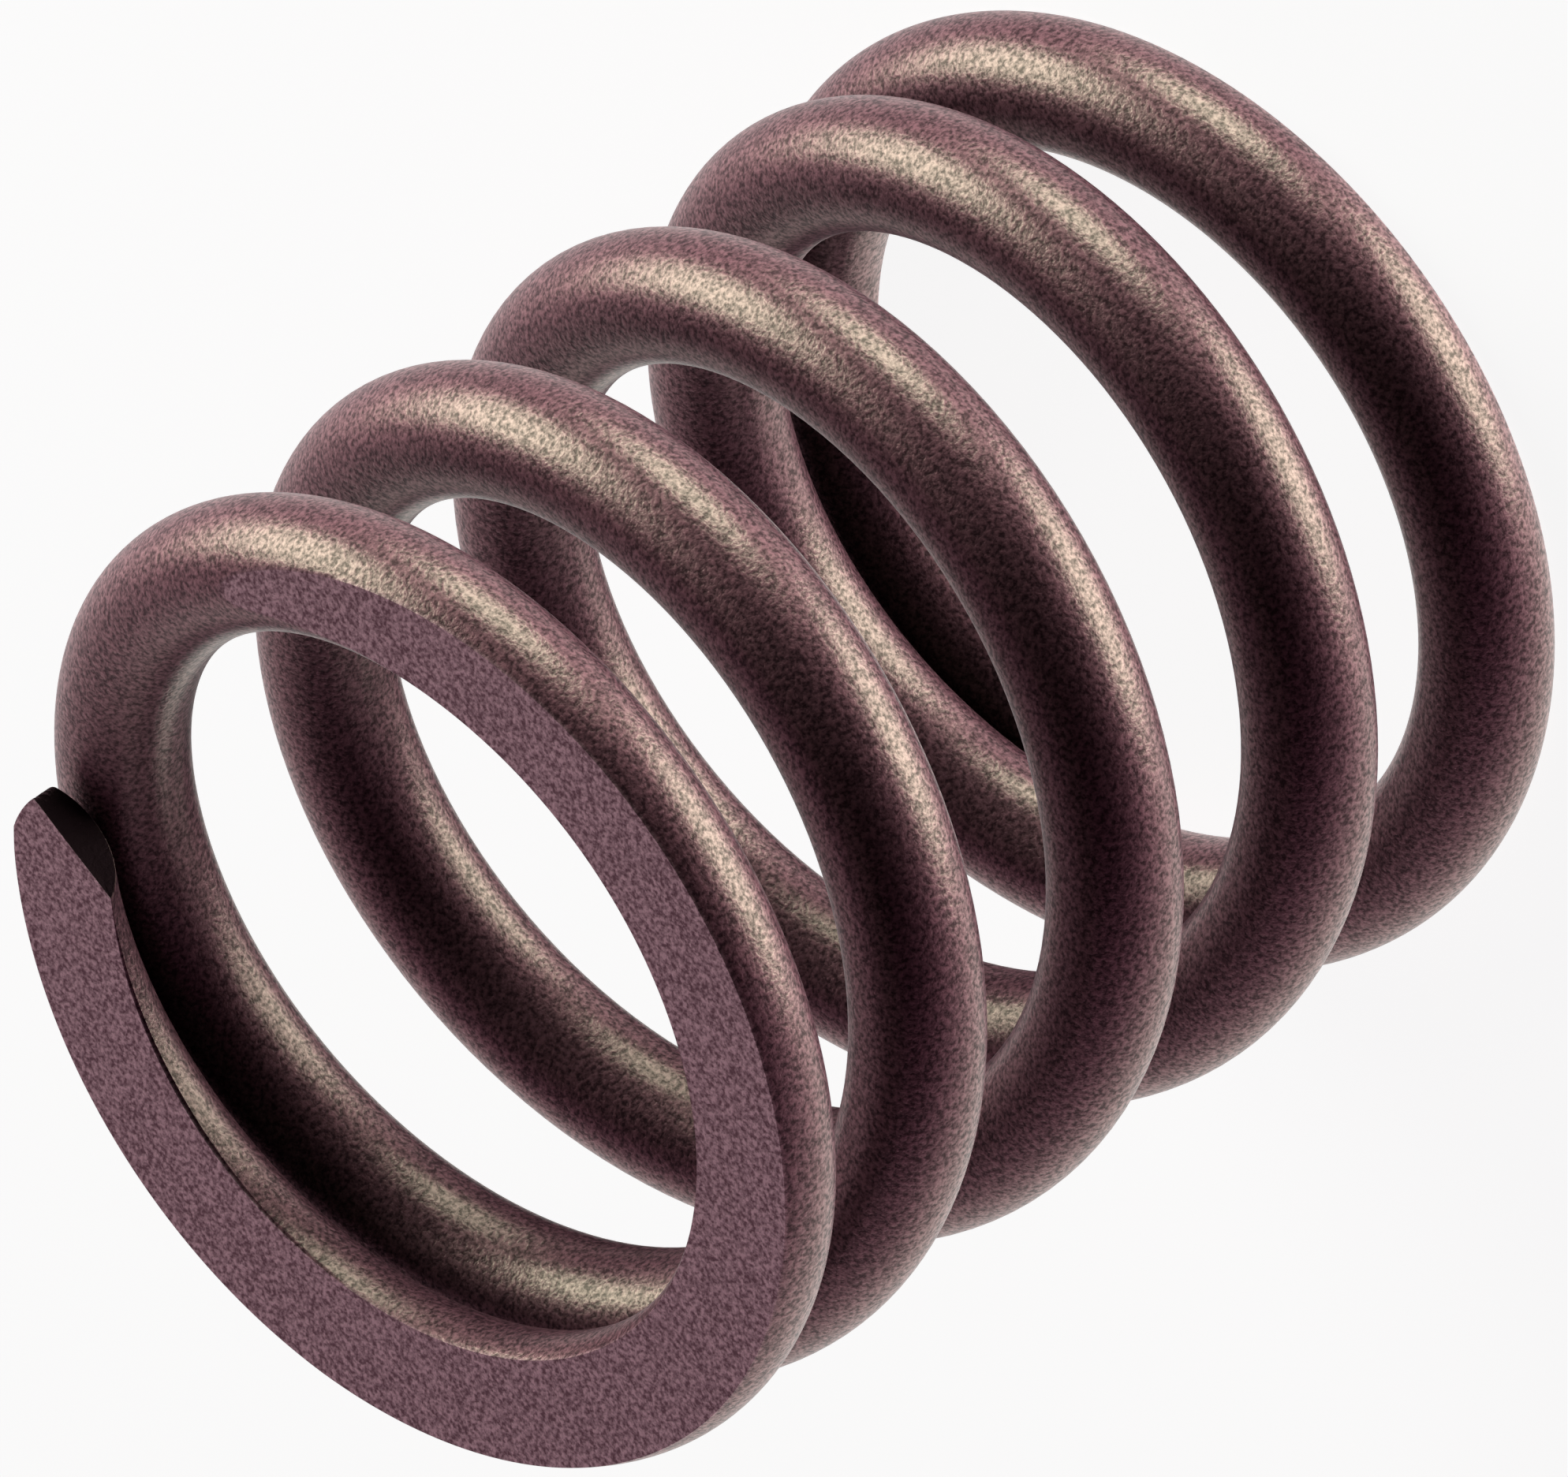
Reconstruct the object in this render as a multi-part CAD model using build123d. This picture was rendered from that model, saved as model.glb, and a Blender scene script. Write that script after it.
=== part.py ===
from build123d import *
from math import ceil, cos, degrees, pi, radians, sin, tan
import os

# Valve spring: a compression spring of round wire, wound left-handed, both ends closed and ground.
# The axis is Z. The lower ground face lies on Z = 0 and the lower tip of the wire is on +X.
# Sizes are in millimetres; places along the wire are in turns from its lower tip.

# Wire and coil
wire_diameter = 4.0
outside_diameter = 30.65
free_length = 34.7
total_turns = 5.22

# Closed ends
closed_turns = 0.47      # over which an end turn levels off from its tip
opening_turns = 0.56     # over which the pitch then grows to that of the free turns
tip_gap = 0.08           # left between a tip and the turn beside it
tip_thickness = 1.2      # of wire left at a tip once its face is ground
tip_draw = 0.5           # of a tip towards the axis
draw_turns = 0.2         # over which the wire is drawn in

# Sheared tips and ground edges
shear_angle = 35.0       # of the cut from square across the wire, the outer side left longer
flank_radius = 3.5       # of the curve, seen along the axis, that takes off the outer corner
flank_length = 2.0       # of wire that this curve runs along
point_round = 0.3        # of the point left between the cut and the curve
edge_break = 0.35        # taken off the inner and outer edges of the ground faces

# Wire made piece by piece, and the tools that cut it
tip_length = 8.0         # of wire that is sheared apart from the rest
points_per_turn = 16     # that the wire's centre line runs through
fewest_spans = 4         # between those points, however short the wire
turns_step = 1e-4        # over which its direction is measured
tool_clearance = 0.02
tool_reach = wire_diameter

wire_radius = wire_diameter / 2
coil_radius = (outside_diameter - wire_diameter) / 2
ground_depth = wire_radius - tip_thickness
half_turns = total_turns / 2
turn_length = 2 * pi * coil_radius


def opened(turns):
    """Turns wound at the free pitch, counting each part of the opening stretch by its share."""
    x = (turns - closed_turns) / opening_turns
    share = 0.0 if x < 0 else x ** 3 - x ** 4 / 2 if x < 1 else x - 0.5
    return opening_turns * share


# The first turn rises one wire and the tip gap, and half the wire rises to mid-length.
first_rise = wire_diameter + tip_gap
half_rise = free_length / 2 + ground_depth
free_pitch = (half_rise - first_rise) / (opened(half_turns) - opened(1))
end_rise = first_rise - free_pitch * opened(1)
levelling = free_pitch * closed_turns / end_rise     # power that lays a tip along the turn beside it


def height(turns):
    """Height of the wire's centre; the upper half is the lower half turned over."""
    if turns > half_turns:
        return free_length - height(total_turns - turns)
    still_to_level = max(0.0, 1 - turns / closed_turns)
    return end_rise * (1 - still_to_level ** levelling) + free_pitch * opened(turns) - ground_depth


def centre(turns):
    """Point on the wire's centre line."""
    still_to_come_out = max(0.0, 1 - min(turns, total_turns - turns) / draw_turns)
    radius = coil_radius - tip_draw * still_to_come_out ** 2
    angle = -2 * pi * turns
    return Vector(radius * cos(angle), radius * sin(angle), height(turns))


def heading(turns):
    """Direction of the wire's centre line."""
    return (centre(turns + turns_step) - centre(turns - turns_step)).normalized()


def wire(start, end):
    """Round wire between two places along the coil."""
    spans = max(fewest_spans, ceil((end - start) * points_per_turn))
    points = [centre(start + (end - start) * i / spans) for i in range(spans + 1)]
    path = Spline(points, tangents=[heading(start), heading(end)], tangent_scalars=(1, 1))
    section = Plane(origin=path @ 0, z_dir=path % 0) * Circle(wire_radius)
    return sweep(section, path=path, is_frenet=True)


def tip_outline():
    """Plan of what the shear leaves: a slanted cut that meets a curved outer flank in a blunt point."""
    disc = Circle(coil_radius + wire_radius + tool_clearance)
    beyond = Rectangle(4 * coil_radius, 2 * coil_radius, align=(Align.CENTER, Align.MIN))
    cut_off = Pos(coil_radius, 0) * Rot(0, 0, shear_angle) * beyond
    outer_side = coil_radius - tip_draw + wire_radius
    flank = Pos(outer_side - flank_radius, 0) * Circle(flank_radius)
    outer_corner = Rot(0, 0, -degrees(flank_length / coil_radius)) * (beyond - flank)
    kept = disc - cut_off - outer_corner
    point = kept.vertices().sort_by(Axis.Y)[-1]
    return fillet(point, point_round)


def tip():
    """The sheared lower end of the wire."""
    overrun = (wire_radius + tool_clearance) * tan(radians(shear_angle))
    stub = wire(-overrun / turn_length, tip_turns)
    return stub & extrude(Pos(0, 0, -tool_reach) * tip_outline(), 2 * tool_reach + wire_diameter)


def ground_space():
    """The ring between the two grinding planes, its corners taken off to break the ground edges."""
    side = wire_radius + tool_reach
    corner = tool_reach + edge_break
    profile = Rectangle(2 * side, free_length, align=(Align.CENTER, Align.MIN))
    profile = chamfer(profile.vertices(), corner)
    return revolve(Plane.XZ * Pos(coil_radius, 0) * profile, Axis.Z)


tip_turns = tip_length / turn_length
middle = Axis((0, 0, free_length / 2), (cos(pi * total_turns), -sin(pi * total_turns), 0))
lower_tip = tip()
coil = wire(tip_turns, total_turns - tip_turns) + lower_tip + lower_tip.rotate(middle, 180)
valve_spring = coil & ground_space()

os.makedirs("parts", exist_ok=True)
export_step(valve_spring, "parts/valve_spring.step")
print("free pitch", round(free_pitch, 3), "end rise", round(end_rise, 3), "levelling", round(levelling, 2))
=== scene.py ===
from math import cos, pi, radians, sin, tan

import bpy
from mathutils import Matrix, Vector


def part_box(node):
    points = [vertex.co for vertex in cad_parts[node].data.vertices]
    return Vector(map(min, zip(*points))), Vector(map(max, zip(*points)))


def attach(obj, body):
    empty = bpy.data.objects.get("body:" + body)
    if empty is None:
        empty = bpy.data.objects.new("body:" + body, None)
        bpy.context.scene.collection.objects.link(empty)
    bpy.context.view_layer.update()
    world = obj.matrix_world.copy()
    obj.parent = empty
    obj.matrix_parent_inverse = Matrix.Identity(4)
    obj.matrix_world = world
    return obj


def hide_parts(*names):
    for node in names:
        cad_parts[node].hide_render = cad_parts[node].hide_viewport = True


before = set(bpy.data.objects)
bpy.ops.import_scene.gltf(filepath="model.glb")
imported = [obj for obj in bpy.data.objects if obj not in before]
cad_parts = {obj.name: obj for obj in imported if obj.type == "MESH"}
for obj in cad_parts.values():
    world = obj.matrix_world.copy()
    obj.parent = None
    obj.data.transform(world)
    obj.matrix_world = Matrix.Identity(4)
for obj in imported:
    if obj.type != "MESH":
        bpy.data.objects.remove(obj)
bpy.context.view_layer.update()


# Valve spring
# One length of round steel spring wire, wound left-handed. Its end turns are closed, sheared off at
# a slant and ground square to the axis, and the whole spring is then shot-peened.
# Lengths are in metres; places along the wire are in turns from its lower tip.

mm = 0.001
low_corner, high_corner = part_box("valve_spring")
outside_diameter = high_corner.x - low_corner.x
free_length = high_corner.z - low_corner.z
wire_radius = 2.0 * mm
coil_radius = outside_diameter / 2 - wire_radius
total_turns = 5.22
half_turns = total_turns / 2

closed_turns = 0.47      # over which an end turn levels off from its tip
opening_turns = 0.56     # over which the pitch then grows to that of the free turns
tip_gap = 0.08 * mm      # left between a tip and the turn beside it
tip_thickness = 1.2 * mm
tip_draw = 0.5 * mm      # of a tip towards the axis
draw_turns = 0.2         # over which the wire is drawn in
edge_break = 0.1 * mm    # taken off the edges of the ground faces
shear_angle = radians(35)
flank_radius = 3.5 * mm  # of the curve that takes off a tip's outer corner
flank_length = 2.0 * mm  # of wire that this curve runs along
point_round = 0.3 * mm   # of the point between the cut and the curve
shear_fade = 0.1         # turns over which the slant of the cut dies out


def share_opened(turns):
    """Turns wound at the free pitch, counting each part of the opening stretch by its share."""
    x = (turns - closed_turns) / opening_turns
    inside = min(max(x, 0), 1)
    return opening_turns * (inside ** 3 * (1 - inside / 2) + max(x, 1) - 1)


ground_depth = wire_radius - tip_thickness
tip_middle = tip_thickness / 2 - wire_radius     # depth of a sheared face's middle below the wire's
first_rise = 2 * wire_radius + tip_gap
half_rise = free_length / 2 + ground_depth
free_pitch = (half_rise - first_rise) / (share_opened(half_turns) - share_opened(1))
end_rise = first_rise - free_pitch * share_opened(1)
levelling = free_pitch * closed_turns / end_rise     # power that lays a tip along the turn beside it


def add(tree, kind, inputs, **settings):
    """Add a node with its settings, and give each of its inputs a value or a link."""
    node = tree.nodes.new(kind)
    for name, value in settings.items():
        setattr(node, name, value)
    for name, value in inputs.items():
        source = value.outputs[0] if isinstance(value, bpy.types.Node) else value
        if isinstance(source, bpy.types.NodeSocket):
            tree.links.new(source, node.inputs[name])
        else:
            node.inputs[name].default_value = source
    return node


def new_tree(name, inputs, outputs):
    """A Geometry Nodes tree with named inputs and outputs, and the sockets that bring the inputs in."""
    tree = bpy.data.node_groups.new(name, "GeometryNodeTree")
    for side, sockets in (("INPUT", inputs), ("OUTPUT", outputs)):
        for socket, kind in sockets.items():
            tree.interface.new_socket(socket, in_out=side, socket_type="NodeSocket" + kind)
    return tree, tree.nodes.new("NodeGroupInput").outputs


# Section of the wire, walked from the middle of its ground underside (column 0) round to its top,
# one way round for the inner side and the other way for the outer side.
flat_columns = 14
break_columns = 2
round_columns = 40
side_columns = flat_columns + break_columns + round_columns

section, given = new_tree(
    "Ground wire section",
    {"Column": "Float", "Centre height": "Float", "Wire radius": "Float", "Edge break": "Float"},
    {"Across": "Float", "Down": "Float"},
)
from_middle = add(section, "ShaderNodeMath", {0: given["Column"]}, operation="ABSOLUTE")
which_side = add(section, "ShaderNodeMath", {0: given["Column"]}, operation="SIGN")

# Half angle of the ground flat, from straight down, and half its width.
relative = add(section, "ShaderNodeMath", {0: given["Centre height"], 1: given["Wire radius"]},
               operation="DIVIDE")
flat_angle = add(section, "ShaderNodeMath", {0: relative}, operation="ARCCOSINE")
flat_sine = add(section, "ShaderNodeMath", {0: flat_angle}, operation="SINE")
flat_reach = add(section, "ShaderNodeMath", {0: flat_sine, 1: given["Wire radius"]},
                 operation="MULTIPLY")

# Where the flat is wide enough, a 45 degree break takes its edges off.
break_reach = add(section, "ShaderNodeMath", {0: given["Wire radius"], 1: given["Edge break"]},
                  operation="SUBTRACT")
is_broken = add(section, "ShaderNodeMath", {0: flat_reach, 1: break_reach}, operation="GREATER_THAN")
break_offset = add(section, "ShaderNodeMath", {0: given["Centre height"], 1: break_reach},
                   operation="ADD")
diagonal = add(section, "ShaderNodeMath", {0: given["Wire radius"], 1: 2 ** 0.5},
               operation="MULTIPLY")
break_sine = add(section, "ShaderNodeMath", {0: break_offset, 1: diagonal}, operation="DIVIDE")
break_turn = add(section, "ShaderNodeMath", {0: break_sine}, operation="ARCSINE")
break_angle = add(section, "ShaderNodeMath", {0: radians(135), 1: break_turn}, operation="SUBTRACT")
round_start = add(section, "ShaderNodeMix", {0: is_broken, 2: flat_angle, 3: break_angle})
flat_half = add(section, "ShaderNodeMath", {0: flat_reach, 1: break_reach}, operation="MINIMUM")

# Columns stand closer together towards the edges of the flat.
quarter_turn = add(section, "ShaderNodeMapRange",
                   {0: from_middle, 1: 0.0, 2: flat_columns, 3: 0.0, 4: pi / 2})
flat_share = add(section, "ShaderNodeMath", {0: quarter_turn}, operation="SINE")
flat_across = add(section, "ShaderNodeMath", {0: flat_half, 1: flat_share}, operation="MULTIPLY")
flat_down = add(section, "ShaderNodeMath", {0: given["Centre height"], 1: given["Wire radius"]},
                operation="MINIMUM")
break_share = add(section, "ShaderNodeMapRange",
                  {0: from_middle, 1: flat_columns, 2: flat_columns + break_columns, 3: 0.0, 4: 1.0})
round_angle = add(section, "ShaderNodeMapRange",
                  {0: from_middle, 1: flat_columns + break_columns, 2: side_columns,
                   3: round_start, 4: pi})
round_sine = add(section, "ShaderNodeMath", {0: round_angle}, operation="SINE")
round_cosine = add(section, "ShaderNodeMath", {0: round_angle}, operation="COSINE")
round_across = add(section, "ShaderNodeMath", {0: round_sine, 1: given["Wire radius"]},
                   operation="MULTIPLY")
round_down = add(section, "ShaderNodeMath", {0: round_cosine, 1: given["Wire radius"]},
                 operation="MULTIPLY")
half_across = add(section, "ShaderNodeMix", {0: break_share, 2: flat_across, 3: round_across})
across = add(section, "ShaderNodeMath", {0: half_across, 1: which_side}, operation="MULTIPLY")
down = add(section, "ShaderNodeMix", {0: break_share, 2: flat_down, 3: round_down})
add(section, "NodeGroupOutput", {"Across": across, "Down": down})

# Height of the wire's centre at a place along the lower half.
rise, given = new_tree(
    "Rise of the wire",
    {"Turns": "Float", "Closed turns": "Float", "Opening turns": "Float", "End rise": "Float",
     "Levelling": "Float", "Free pitch": "Float", "Ground depth": "Float"},
    {"Height": "Float"},
)
still_closed = add(rise, "ShaderNodeMapRange",
                   {0: given["Turns"], 1: 0.0, 2: given["Closed turns"], 3: 1.0, 4: 0.0},
                   clamp=False)
to_level = add(rise, "ShaderNodeMath", {0: still_closed, 1: 0.0}, operation="MAXIMUM")
levelled = add(rise, "ShaderNodeMath", {0: to_level, 1: given["Levelling"]}, operation="POWER")
rise_left = add(rise, "ShaderNodeMath", {0: levelled, 1: given["End rise"]}, operation="MULTIPLY")
past_closed = add(rise, "ShaderNodeMath", {0: given["Turns"], 1: given["Closed turns"]},
                  operation="SUBTRACT")
opening = add(rise, "ShaderNodeMath", {0: past_closed, 1: given["Opening turns"]},
              operation="DIVIDE")
inside_opening = add(rise, "ShaderNodeClamp", {0: opening})
cubed = add(rise, "ShaderNodeMath", {0: inside_opening, 1: 3.0}, operation="POWER")
easing = add(rise, "ShaderNodeMath", {0: inside_opening, 1: -0.5, 2: 1.0}, operation="MULTIPLY_ADD")
eased = add(rise, "ShaderNodeMath", {0: cubed, 1: easing}, operation="MULTIPLY")
fully_open = add(rise, "ShaderNodeMath", {0: opening, 1: 1.0}, operation="MAXIMUM")
beyond_opening = add(rise, "ShaderNodeMath", {0: fully_open, 1: 1.0}, operation="SUBTRACT")
opened = add(rise, "ShaderNodeMath", {0: eased, 1: beyond_opening}, operation="ADD")
opened_turns = add(rise, "ShaderNodeMath", {0: opened, 1: given["Opening turns"]},
                   operation="MULTIPLY")
end_height = add(rise, "ShaderNodeMath", {0: given["End rise"], 1: given["Ground depth"]},
                 operation="SUBTRACT")
climb = add(rise, "ShaderNodeMath",
            {0: opened_turns, 1: given["Free pitch"], 2: end_height}, operation="MULTIPLY_ADD")
height = add(rise, "ShaderNodeMath", {0: climb, 1: rise_left}, operation="SUBTRACT")
add(rise, "NodeGroupOutput", {"Height": height})

# The spring: the lower half of the wire from its sheared tip up, then the same half turned over.
# The first rows of the grid spread from the middle of the sheared face to its rim.
tip_rows = 10
wire_rows = 460
row_bunching = 1.5       # power that crowds the rows towards the tip
half_cell = 0.5          # of the grid, for a limit that lies between two of its lines
weld = 0.001 * mm
crisp_angle = radians(35)    # past which an edge shows as a sharp line
all_rows = tip_rows + wire_rows
sizes = {
    "Coil radius": coil_radius, "Wire radius": wire_radius, "Free length": free_length,
    "Half turns": half_turns, "Closed turns": closed_turns, "Opening turns": opening_turns,
    "Free pitch": free_pitch, "End rise": end_rise, "Levelling": levelling,
    "Ground depth": ground_depth, "Tip middle": tip_middle, "Tip draw": tip_draw,
    "Draw turns": draw_turns, "Edge break": edge_break, "Shear angle": shear_angle,
    "Flank radius": flank_radius, "Flank length": flank_length, "Point round": point_round,
    "Shear fade": shear_fade,
}
spring_tree, given = new_tree("Wound spring", {**dict.fromkeys(sizes, "Float"), "Steel": "Material"},
                              {"Geometry": "Geometry"})
grid = add(spring_tree, "GeometryNodeMeshGrid",
           {"Size X": all_rows, "Size Y": 2 * side_columns,
            "Vertices X": all_rows + 1, "Vertices Y": 2 * side_columns + 1})
place = add(spring_tree, "ShaderNodeSeparateXYZ", {0: add(spring_tree, "GeometryNodeInputPosition", {})})
row = add(spring_tree, "ShaderNodeMath", {0: place.outputs["X"], 1: all_rows / 2}, operation="ADD")
column = place.outputs["Y"]
way = add(spring_tree, "ShaderNodeMapRange", {0: row, 1: tip_rows, 2: all_rows, 3: 0.0, 4: 1.0})
crowded_way = add(spring_tree, "ShaderNodeMath", {0: way, 1: row_bunching}, operation="POWER")
square_turns = add(spring_tree, "ShaderNodeMath", {0: crowded_way, 1: given["Half turns"]},
                   operation="MULTIPLY")
tip_spread = add(spring_tree, "ShaderNodeMapRange", {0: row, 1: 0.0, 2: tip_rows, 3: 0.0, 4: 1.0},
                 interpolation_type="SMOOTHSTEP")

# The tip's plan, worked out on its section: a slanted cut that leaves the outer side longer, a round
# flank that takes off the outer corner, and a blunt point where they meet. The cut is a line that
# passes the axis at a distance, and the flank is a circle, so both give an angle about the axis.
tip_height = add(spring_tree, "ShaderNodeMath", {0: given["Ground depth"], 1: -1.0},
                 operation="MULTIPLY")
tip_section = add(spring_tree, "GeometryNodeGroup",
                  {"Column": column, "Centre height": tip_height,
                   "Wire radius": given["Wire radius"], "Edge break": given["Edge break"]},
                  node_tree=section)
tip_across = add(spring_tree, "ShaderNodeMath", {0: tip_section, 1: tip_spread},
                 operation="MULTIPLY")
tip_centre = add(spring_tree, "ShaderNodeMath", {0: given["Coil radius"], 1: given["Tip draw"]},
                 operation="SUBTRACT")
tip_out = add(spring_tree, "ShaderNodeMath", {0: tip_centre, 1: tip_across}, operation="ADD")
shear_sine = add(spring_tree, "ShaderNodeMath", {0: given["Shear angle"]}, operation="SINE")
cut_distance = add(spring_tree, "ShaderNodeMath", {0: given["Coil radius"], 1: shear_sine},
                   operation="MULTIPLY")
cut_cosine = add(spring_tree, "ShaderNodeMath", {0: cut_distance, 1: tip_out}, operation="DIVIDE")
cut_turn = add(spring_tree, "ShaderNodeMath", {0: cut_cosine}, operation="ARCCOSINE")
cut_start = add(spring_tree, "ShaderNodeMath", {0: pi / 2, 1: given["Shear angle"]},
                operation="SUBTRACT")
cut_back = add(spring_tree, "ShaderNodeMath", {0: cut_start, 1: cut_turn}, operation="SUBTRACT")

flank_in = add(spring_tree, "ShaderNodeMath", {0: given["Wire radius"], 1: given["Flank radius"]},
               operation="SUBTRACT")
flank_out = add(spring_tree, "ShaderNodeMath", {0: tip_centre, 1: flank_in}, operation="ADD")
tip_square = add(spring_tree, "ShaderNodeMath", {0: tip_out, 1: 2.0}, operation="POWER")
centre_square = add(spring_tree, "ShaderNodeMath", {0: flank_out, 1: 2.0}, operation="POWER")
flank_square = add(spring_tree, "ShaderNodeMath", {0: given["Flank radius"], 1: 2.0},
                   operation="POWER")
both_squares = add(spring_tree, "ShaderNodeMath", {0: tip_square, 1: centre_square}, operation="ADD")
excess = add(spring_tree, "ShaderNodeMath", {0: both_squares, 1: flank_square}, operation="SUBTRACT")
product = add(spring_tree, "ShaderNodeMath", {0: tip_out, 1: flank_out}, operation="MULTIPLY")
quotient = add(spring_tree, "ShaderNodeMath", {0: excess, 1: product}, operation="DIVIDE")
flank_cosine = add(spring_tree, "ShaderNodeMath", {0: quotient, 1: 0.5}, operation="MULTIPLY")
flank_turn = add(spring_tree, "ShaderNodeMath", {0: flank_cosine}, operation="ARCCOSINE")
flank_start = add(spring_tree, "ShaderNodeMath", {0: given["Flank length"], 1: given["Coil radius"]},
                  operation="DIVIDE")
flank_back = add(spring_tree, "ShaderNodeMath", {0: flank_start, 1: flank_turn},
                 operation="SUBTRACT")
point_spread = add(spring_tree, "ShaderNodeMath", {0: given["Point round"], 1: given["Coil radius"]},
                   operation="DIVIDE")
set_back = add(spring_tree, "ShaderNodeMath", {0: cut_back, 1: flank_back, 2: point_spread},
               operation="SMOOTH_MAX")

# The rows near the tip are set back by that angle, less and less along the wire.
fade = add(spring_tree, "ShaderNodeMapRange",
           {0: square_turns, 1: 0.0, 2: given["Shear fade"], 3: 1 / (2 * pi), 4: 0.0})
turns = add(spring_tree, "ShaderNodeMath", {0: set_back, 1: fade, 2: square_turns},
            operation="MULTIPLY_ADD")

# The centre line, and the section set on it.
centre_height = add(spring_tree, "GeometryNodeGroup",
                    {"Turns": turns, **{name: given[name] for name in
                     ("Closed turns", "Opening turns", "End rise", "Levelling", "Free pitch",
                      "Ground depth")}}, node_tree=rise)
to_come_out = add(spring_tree, "ShaderNodeMapRange",
                  {0: turns, 1: 0.0, 2: given["Draw turns"], 3: 1.0, 4: 0.0}, clamp=False)
still_in = add(spring_tree, "ShaderNodeMath", {0: to_come_out, 1: 0.0}, operation="MAXIMUM")
drawn_share = add(spring_tree, "ShaderNodeMath", {0: still_in, 1: 2.0}, operation="POWER")
drawn_in = add(spring_tree, "ShaderNodeMath", {0: drawn_share, 1: given["Tip draw"]},
               operation="MULTIPLY")
wire_section = add(spring_tree, "GeometryNodeGroup",
                   {"Column": column, "Centre height": centre_height,
                    "Wire radius": given["Wire radius"], "Edge break": given["Edge break"]},
                   node_tree=section)
wire_across = add(spring_tree, "ShaderNodeMath", {0: wire_section, 1: tip_spread},
                  operation="MULTIPLY")
wire_down = add(spring_tree, "ShaderNodeMix",
                {0: tip_spread, 2: given["Tip middle"], 3: wire_section.outputs["Down"]})
out = add(spring_tree, "ShaderNodeMath", {0: given["Coil radius"], 1: wire_across},
          operation="ADD")
radius = add(spring_tree, "ShaderNodeMath", {0: out, 1: drawn_in}, operation="SUBTRACT")
wire_height = add(spring_tree, "ShaderNodeMath", {0: centre_height, 1: wire_down},
                  operation="SUBTRACT")
unturned = add(spring_tree, "ShaderNodeCombineXYZ", {"X": radius, "Z": wire_height})
left_handed = add(spring_tree, "ShaderNodeMath", {0: turns, 1: -2 * pi}, operation="MULTIPLY")
wound = add(spring_tree, "ShaderNodeVectorRotate", {"Vector": unturned, "Angle": left_handed},
            rotation_type="Z_AXIS")

# Which of the surface is ground and which is sheared, kept for the material.
from_underside = add(spring_tree, "ShaderNodeMath", {0: column}, operation="ABSOLUTE")
in_flat = add(spring_tree, "ShaderNodeMath", {0: from_underside, 1: flat_columns + half_cell},
              operation="LESS_THAN")
is_cut = add(spring_tree, "ShaderNodeMath", {0: centre_height, 1: given["Wire radius"]},
             operation="LESS_THAN")
ground = add(spring_tree, "ShaderNodeMath", {0: in_flat, 1: is_cut}, operation="MULTIPLY")
sheared = add(spring_tree, "ShaderNodeMath", {0: row, 1: tip_rows - half_cell},
              operation="LESS_THAN")
with_ground = add(spring_tree, "GeometryNodeStoreNamedAttribute",
                  {"Geometry": grid, "Name": "ground", "Value": ground})
with_sheared = add(spring_tree, "GeometryNodeStoreNamedAttribute",
                   {"Geometry": with_ground, "Name": "sheared", "Value": sheared})
half_spring = add(spring_tree, "GeometryNodeSetPosition",
                  {"Geometry": with_sheared, "Position": wound})

# Turned over about the level line through the middle of the wire's length, and welded there.
over_axis = Vector((cos(pi * total_turns), -sin(pi * total_turns), 0))
turn_over = add(spring_tree, "FunctionNodeAxisAngleToRotation", {"Axis": over_axis, "Angle": pi})
raised = add(spring_tree, "ShaderNodeCombineXYZ", {"Z": given["Free length"]})
other_half = add(spring_tree, "GeometryNodeTransform",
                 {"Geometry": half_spring, "Rotation": turn_over, "Translation": raised})
both_halves = add(spring_tree, "GeometryNodeJoinGeometry", {"Geometry": half_spring})
spring_tree.links.new(other_half.outputs[0], both_halves.inputs["Geometry"])
welded = add(spring_tree, "GeometryNodeMergeByDistance", {"Geometry": both_halves, "Distance": weld})
facing_out = add(spring_tree, "GeometryNodeFlipFaces", {"Mesh": welded})
smooth = add(spring_tree, "GeometryNodeSetShadeSmooth", {"Geometry": facing_out})
edge_angle = add(spring_tree, "GeometryNodeInputMeshEdgeAngle", {}).outputs["Unsigned Angle"]
is_crisp = add(spring_tree, "ShaderNodeMath", {0: edge_angle, 1: crisp_angle},
               operation="GREATER_THAN")
crisp = add(spring_tree, "GeometryNodeSetShadeSmooth",
            {"Geometry": smooth, "Selection": is_crisp, "Shade Smooth": False}, domain="EDGE")
real = add(spring_tree, "GeometryNodeRealizeInstances", {"Geometry": crisp})
finished = add(spring_tree, "GeometryNodeSetMaterial", {"Geometry": real, "Material": given["Steel"]})
add(spring_tree, "NodeGroupOutput", {"Geometry": finished})


def linear(hex_colour):
    """An sRGB hex colour as linear red, green, blue and a full alpha."""
    channels = [int(hex_colour[i:i + 2], 16) / 255 for i in (1, 3, 5)]
    return [c / 12.92 if c <= 0.04045 else ((c + 0.055) / 1.055) ** 2.4 for c in channels] + [1.0]


# Shot-peened chrome-silicon spring steel. Round shot leaves a skin of shallow dimples: their
# burnished rims give a warm glint, and the oxide in their hollows a dull mauve one.
# The ground ends are matt and paler, and the sheared faces are painted nearly black as painted shade.
dimple_size = 0.15 * mm
dimple_depth = 0.03 * mm
steel = bpy.data.materials.new("Shot-peened spring steel")
steel.use_nodes = True
steel_tree = steel.node_tree
steel_tree.nodes.clear()
at = add(steel_tree, "ShaderNodeTexCoord", {}).outputs["Object"]
dimples = add(steel_tree, "ShaderNodeTexNoise", {"Vector": at, "Scale": 1 / dimple_size,
                                                 "Detail": 2.0, "Roughness": 0.6})
bump = add(steel_tree, "ShaderNodeBump", {"Strength": 0.6, "Distance": dimple_depth,
                                          "Height": dimples})
clean = add(steel_tree, "ShaderNodeMapRange", {0: dimples, 1: 0.35, 2: 0.65, 3: 0.0, 4: 1.0})
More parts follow.
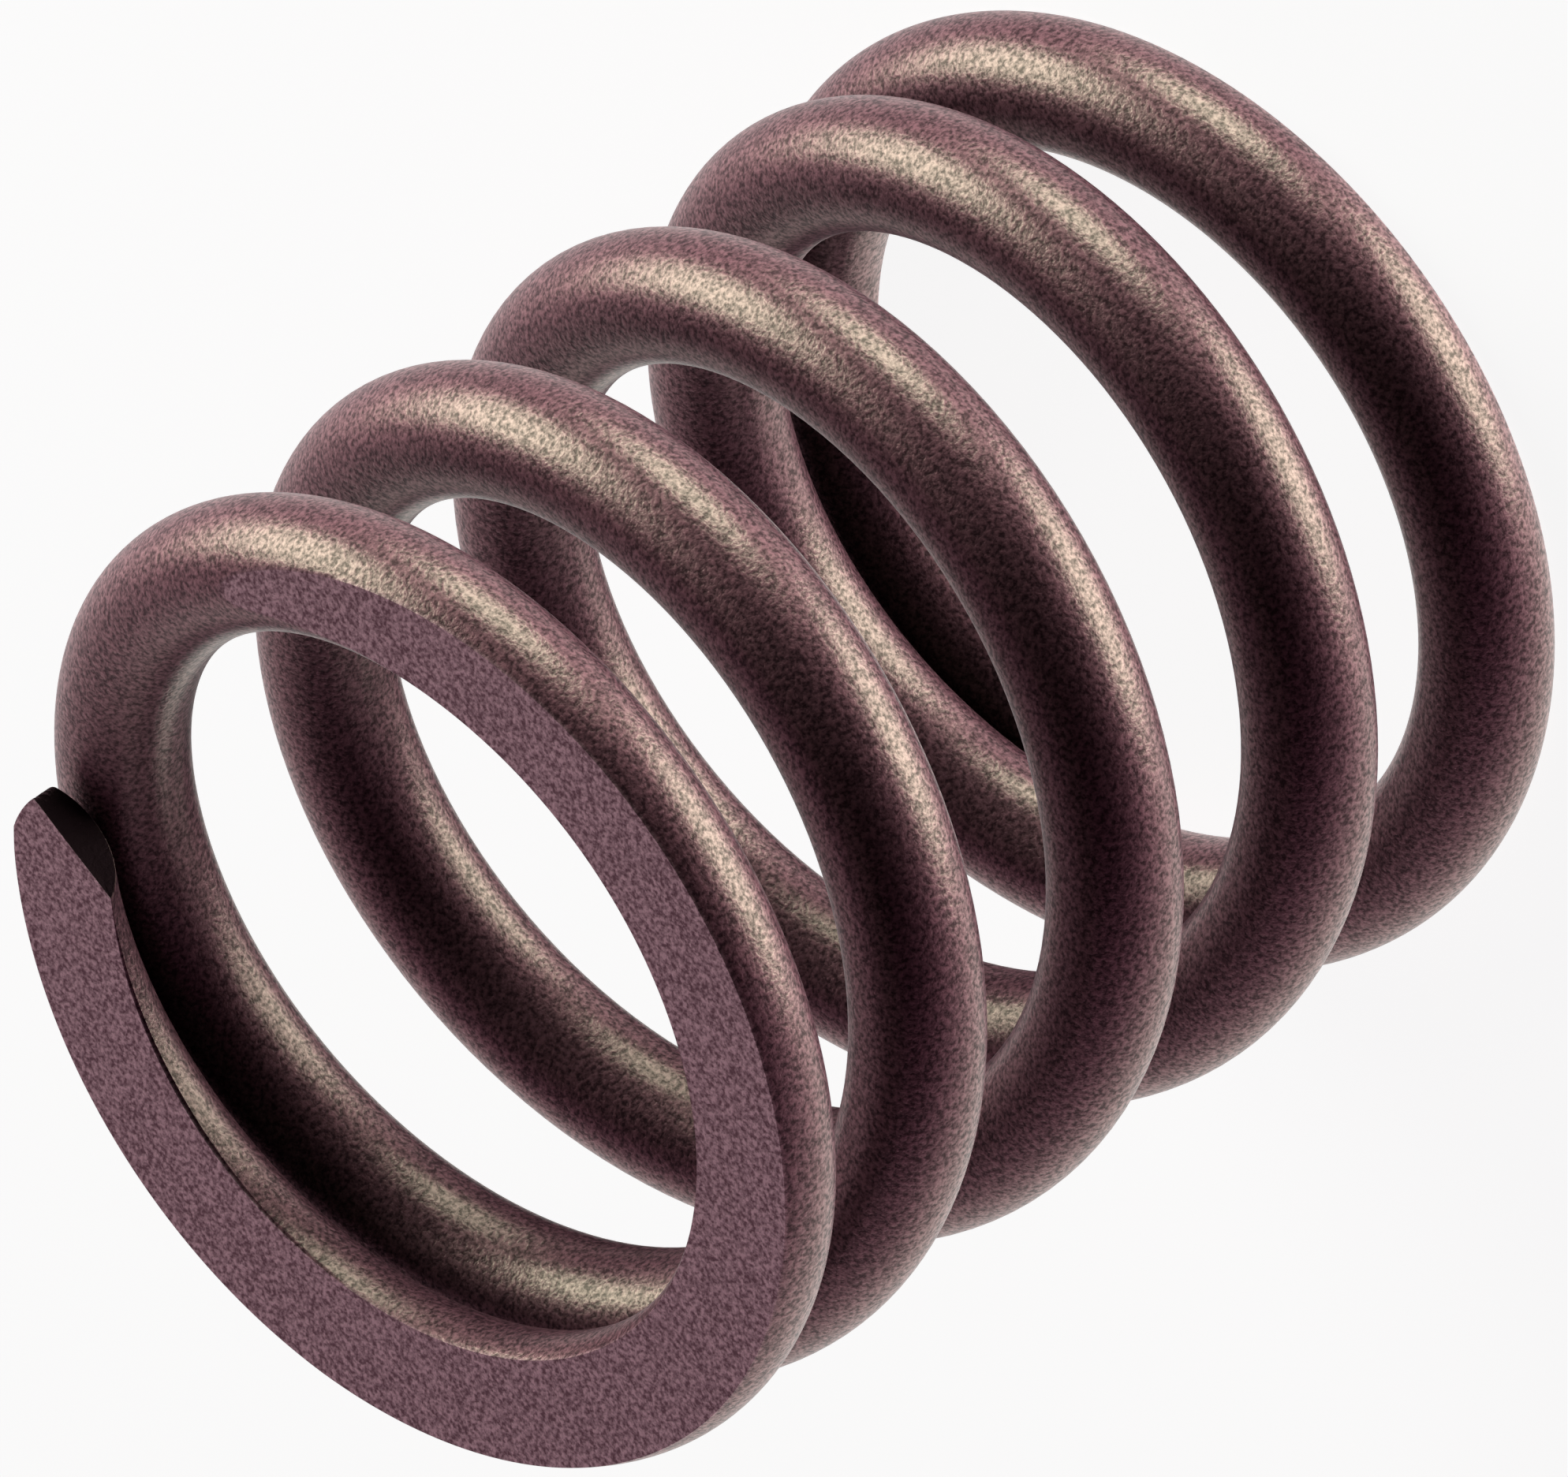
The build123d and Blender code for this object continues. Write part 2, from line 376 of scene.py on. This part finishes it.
oxide_colour = add(steel_tree, "ShaderNodeMix",
                   {0: clean, 6: linear("#663d4e"), 7: linear("#cd869e")}, data_type="RGBA")
rim_colour = add(steel_tree, "ShaderNodeMix",
                 {0: clean, 6: linear("#656758"), 7: linear("#a9ad94")}, data_type="RGBA")
ground_colour = add(steel_tree, "ShaderNodeMix",
                    {0: clean, 6: linear("#96757d"), 7: linear("#f3d6da")}, data_type="RGBA")
oxide = add(steel_tree, "ShaderNodeBsdfPrincipled",
            {"Base Color": oxide_colour.outputs[2], "Metallic": 1.0, "Roughness": 0.58, "Normal": bump})
rims = add(steel_tree, "ShaderNodeBsdfPrincipled",
           {"Base Color": rim_colour.outputs[2], "Metallic": 1.0, "Roughness": 0.36, "Normal": bump})
ground_steel = add(steel_tree, "ShaderNodeBsdfPrincipled",
                   {"Base Color": ground_colour.outputs[2], "Metallic": 1.0, "Roughness": 0.65,
                    "Normal": bump})
# Painted shade: the sheared faces sit in the shade of the turn beside them and are coloured nearly black
# for it.
painted_shade_cut_face = add(steel_tree, "ShaderNodeBsdfPrincipled",
            {"Base Color": linear("#3a2c30"), "Metallic": 1.0, "Roughness": 0.6, "Normal": bump})
peened = add(steel_tree, "ShaderNodeMixShader", {0: 0.5, 1: oxide, 2: rims})
is_ground = add(steel_tree, "ShaderNodeAttribute", {}, attribute_name="ground").outputs["Fac"]
is_sheared = add(steel_tree, "ShaderNodeAttribute", {}, attribute_name="sheared").outputs["Fac"]
with_ends = add(steel_tree, "ShaderNodeMixShader", {0: is_ground, 1: peened, 2: ground_steel})
with_tips = add(steel_tree, "ShaderNodeMixShader", {0: is_sheared, 1: with_ends, 2: painted_shade_cut_face})

# The gaps between the turns look nearly black, so what one turn mirrors of the next is painted shade: a
# dark steel that stands in for the shade in the gaps.
painted_gap_shade = add(steel_tree, "ShaderNodeBsdfPrincipled",
                     {"Base Color": linear("#443a3d"), "Metallic": 1.0, "Roughness": 1.0})
is_mirrored = add(steel_tree, "ShaderNodeLightPath", {}).outputs["Is Glossy Ray"]
as_seen = add(steel_tree, "ShaderNodeMixShader", {0: is_mirrored, 1: with_tips, 2: painted_gap_shade})
add(steel_tree, "ShaderNodeOutputMaterial", {"Surface": as_seen})

spring = bpy.data.objects.new("peened_spring", bpy.data.meshes.new("peened_spring"))
bpy.context.scene.collection.objects.link(spring)
winding = spring.modifiers.new("Winding", "NODES")
winding.node_group = spring_tree
for item in spring_tree.interface.items_tree:
    if item.in_out == "INPUT":
        winding[item.identifier] = sizes.get(item.name, steel)
wound_mesh = bpy.data.meshes.new_from_object(
    spring.evaluated_get(bpy.context.evaluated_depsgraph_get()))
spring.modifiers.clear()
spring.data = wound_mesh
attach(spring, "root")
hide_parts("valve_spring")


# Floor
# A sheet of matt white card. Only the camera sees it: it takes the spring's soft shadow, and lets
# the light of the lamps that stand low reach the underside of the wire.
floor_size = 4.0
half_floor = floor_size / 2
floor_mesh = bpy.data.meshes.new("floor")
floor_mesh.from_pydata([(-half_floor, -half_floor, 0), (half_floor, -half_floor, 0),
                        (half_floor, half_floor, 0), (-half_floor, half_floor, 0)],
                       [], [(0, 1, 2, 3)])
floor = bpy.data.objects.new("floor", floor_mesh)
bpy.context.scene.collection.objects.link(floor)
card = bpy.data.materials.new("Matt white card")
card.use_nodes = True
card_tree = card.node_tree
card_tree.nodes.clear()
glow = add(card_tree, "ShaderNodeEmission", {"Color": linear("#fafafa"), "Strength": 0.94})
matt = add(card_tree, "ShaderNodeBsdfDiffuse", {"Color": linear("#7c7c7c")})
white = add(card_tree, "ShaderNodeAddShader", {0: glow, 1: matt})
add(card_tree, "ShaderNodeOutputMaterial", {"Surface": white})
floor_mesh.materials.append(card)
floor.visible_diffuse = False
floor.visible_glossy = False
floor.visible_transmission = False
floor.visible_shadow = False


# Camera
# A long lens, looking down on the end of the spring, and rolled so that the spring leans as in the
# picture.
camera_azimuth = radians(150.34)     # of the camera as seen from the spring, from +X
camera_elevation = radians(37.22)
camera_roll = radians(-124.66)
camera_distance = 758.42 * mm
aim = Vector((0.13, 0.04, 17.47)) * mm
camera = bpy.data.objects.new("Camera", bpy.data.cameras.new("Camera"))
bpy.context.scene.collection.objects.link(camera)
bpy.context.scene.camera = camera
camera.data.sensor_fit = "HORIZONTAL"
camera.data.sensor_width = 36.0
camera.data.lens = 596.4
camera.data.clip_end = 10.0
turned = (Matrix.Rotation(camera_azimuth + pi / 2, 4, "Z")
          @ Matrix.Rotation(pi / 2 - camera_elevation, 4, "X")
          @ Matrix.Rotation(camera_roll, 4, "Z"))
camera.matrix_world = (Matrix.Translation(aim) @ turned
                       @ Matrix.Translation((0, 0, camera_distance)))


# Light
# Three round soft boxes, left of the picture, above it and right of it, in a room that is rose and
# nearly dark behind the camera and pale behind the spring. A direction from the spring is given as
# its parts to the camera's right, upwards and towards the camera.
lamp_distance = 350 * mm
for name, direction, half_angle, radiance in (
    ("Left soft box", (-0.864, 0.501, 0.051), radians(21), 4.0),
    ("Top soft box", (0.011, 0.963, 0.268), radians(17), 4.2),
    ("Right soft box", (0.901, 0.427, 0.076), radians(22), 3.5),
):
    lamp_radius = lamp_distance * tan(half_angle)
    lamp = bpy.data.objects.new(name, bpy.data.lights.new(name, "AREA"))
    bpy.context.scene.collection.objects.link(lamp)
    lamp.data.shape = "DISK"
    lamp.data.size = 2 * lamp_radius
    lamp.data.energy = radiance * pi * pi * lamp_radius ** 2
    lamp.data.color = linear("#fcfff5")[:3]
    lamp.visible_camera = False
    way_to_lamp = (turned.to_3x3() @ Vector(direction)).normalized()
    lamp.matrix_world = (Matrix.Translation(aim + way_to_lamp * lamp_distance)
                         @ way_to_lamp.to_track_quat("Z", "Y").to_matrix().to_4x4())

palest_way = (turned.to_3x3() @ Vector((0.287, -0.071, -0.955))).normalized()
dark_cosine = -0.74      # of the angle off the palest way from which the room is dark
fall_off = 2.26          # power by which the room then gets paler
palest_radiance = 1.6
world = bpy.data.worlds.new("Pale room")
bpy.context.scene.world = world
world.use_nodes = True
world_tree = world.node_tree
world_tree.nodes.clear()
way_out = add(world_tree, "ShaderNodeTexCoord", {}).outputs["Generated"]
facing = add(world_tree, "ShaderNodeVectorMath", {0: way_out, 1: palest_way},
             operation="DOT_PRODUCT")
nearness = add(world_tree, "ShaderNodeMapRange",
               {0: facing.outputs["Value"], 1: dark_cosine, 2: 1.0, 3: 0.0, 4: 1.0})
falling_off = add(world_tree, "ShaderNodeMath", {0: nearness, 1: fall_off}, operation="POWER")
paleness = add(world_tree, "ShaderNodeMath", {0: falling_off, 1: palest_radiance},
               operation="MULTIPLY")
tint = add(world_tree, "ShaderNodeMix",
           {0: nearness, 6: linear("#ff98de"), 7: linear("#eef5f2")}, data_type="RGBA")
room = add(world_tree, "ShaderNodeBackground", {"Color": tint.outputs[2], "Strength": paleness})
backdrop = add(world_tree, "ShaderNodeBackground", {"Color": linear("#fafafa"), "Strength": 1.0})
to_camera = add(world_tree, "ShaderNodeLightPath", {}).outputs["Is Camera Ray"]
seen = add(world_tree, "ShaderNodeMixShader", {0: to_camera, 1: room, 2: backdrop})
add(world_tree, "ShaderNodeOutputWorld", {"Surface": seen})

bpy.context.scene.view_settings.view_transform = "Standard"
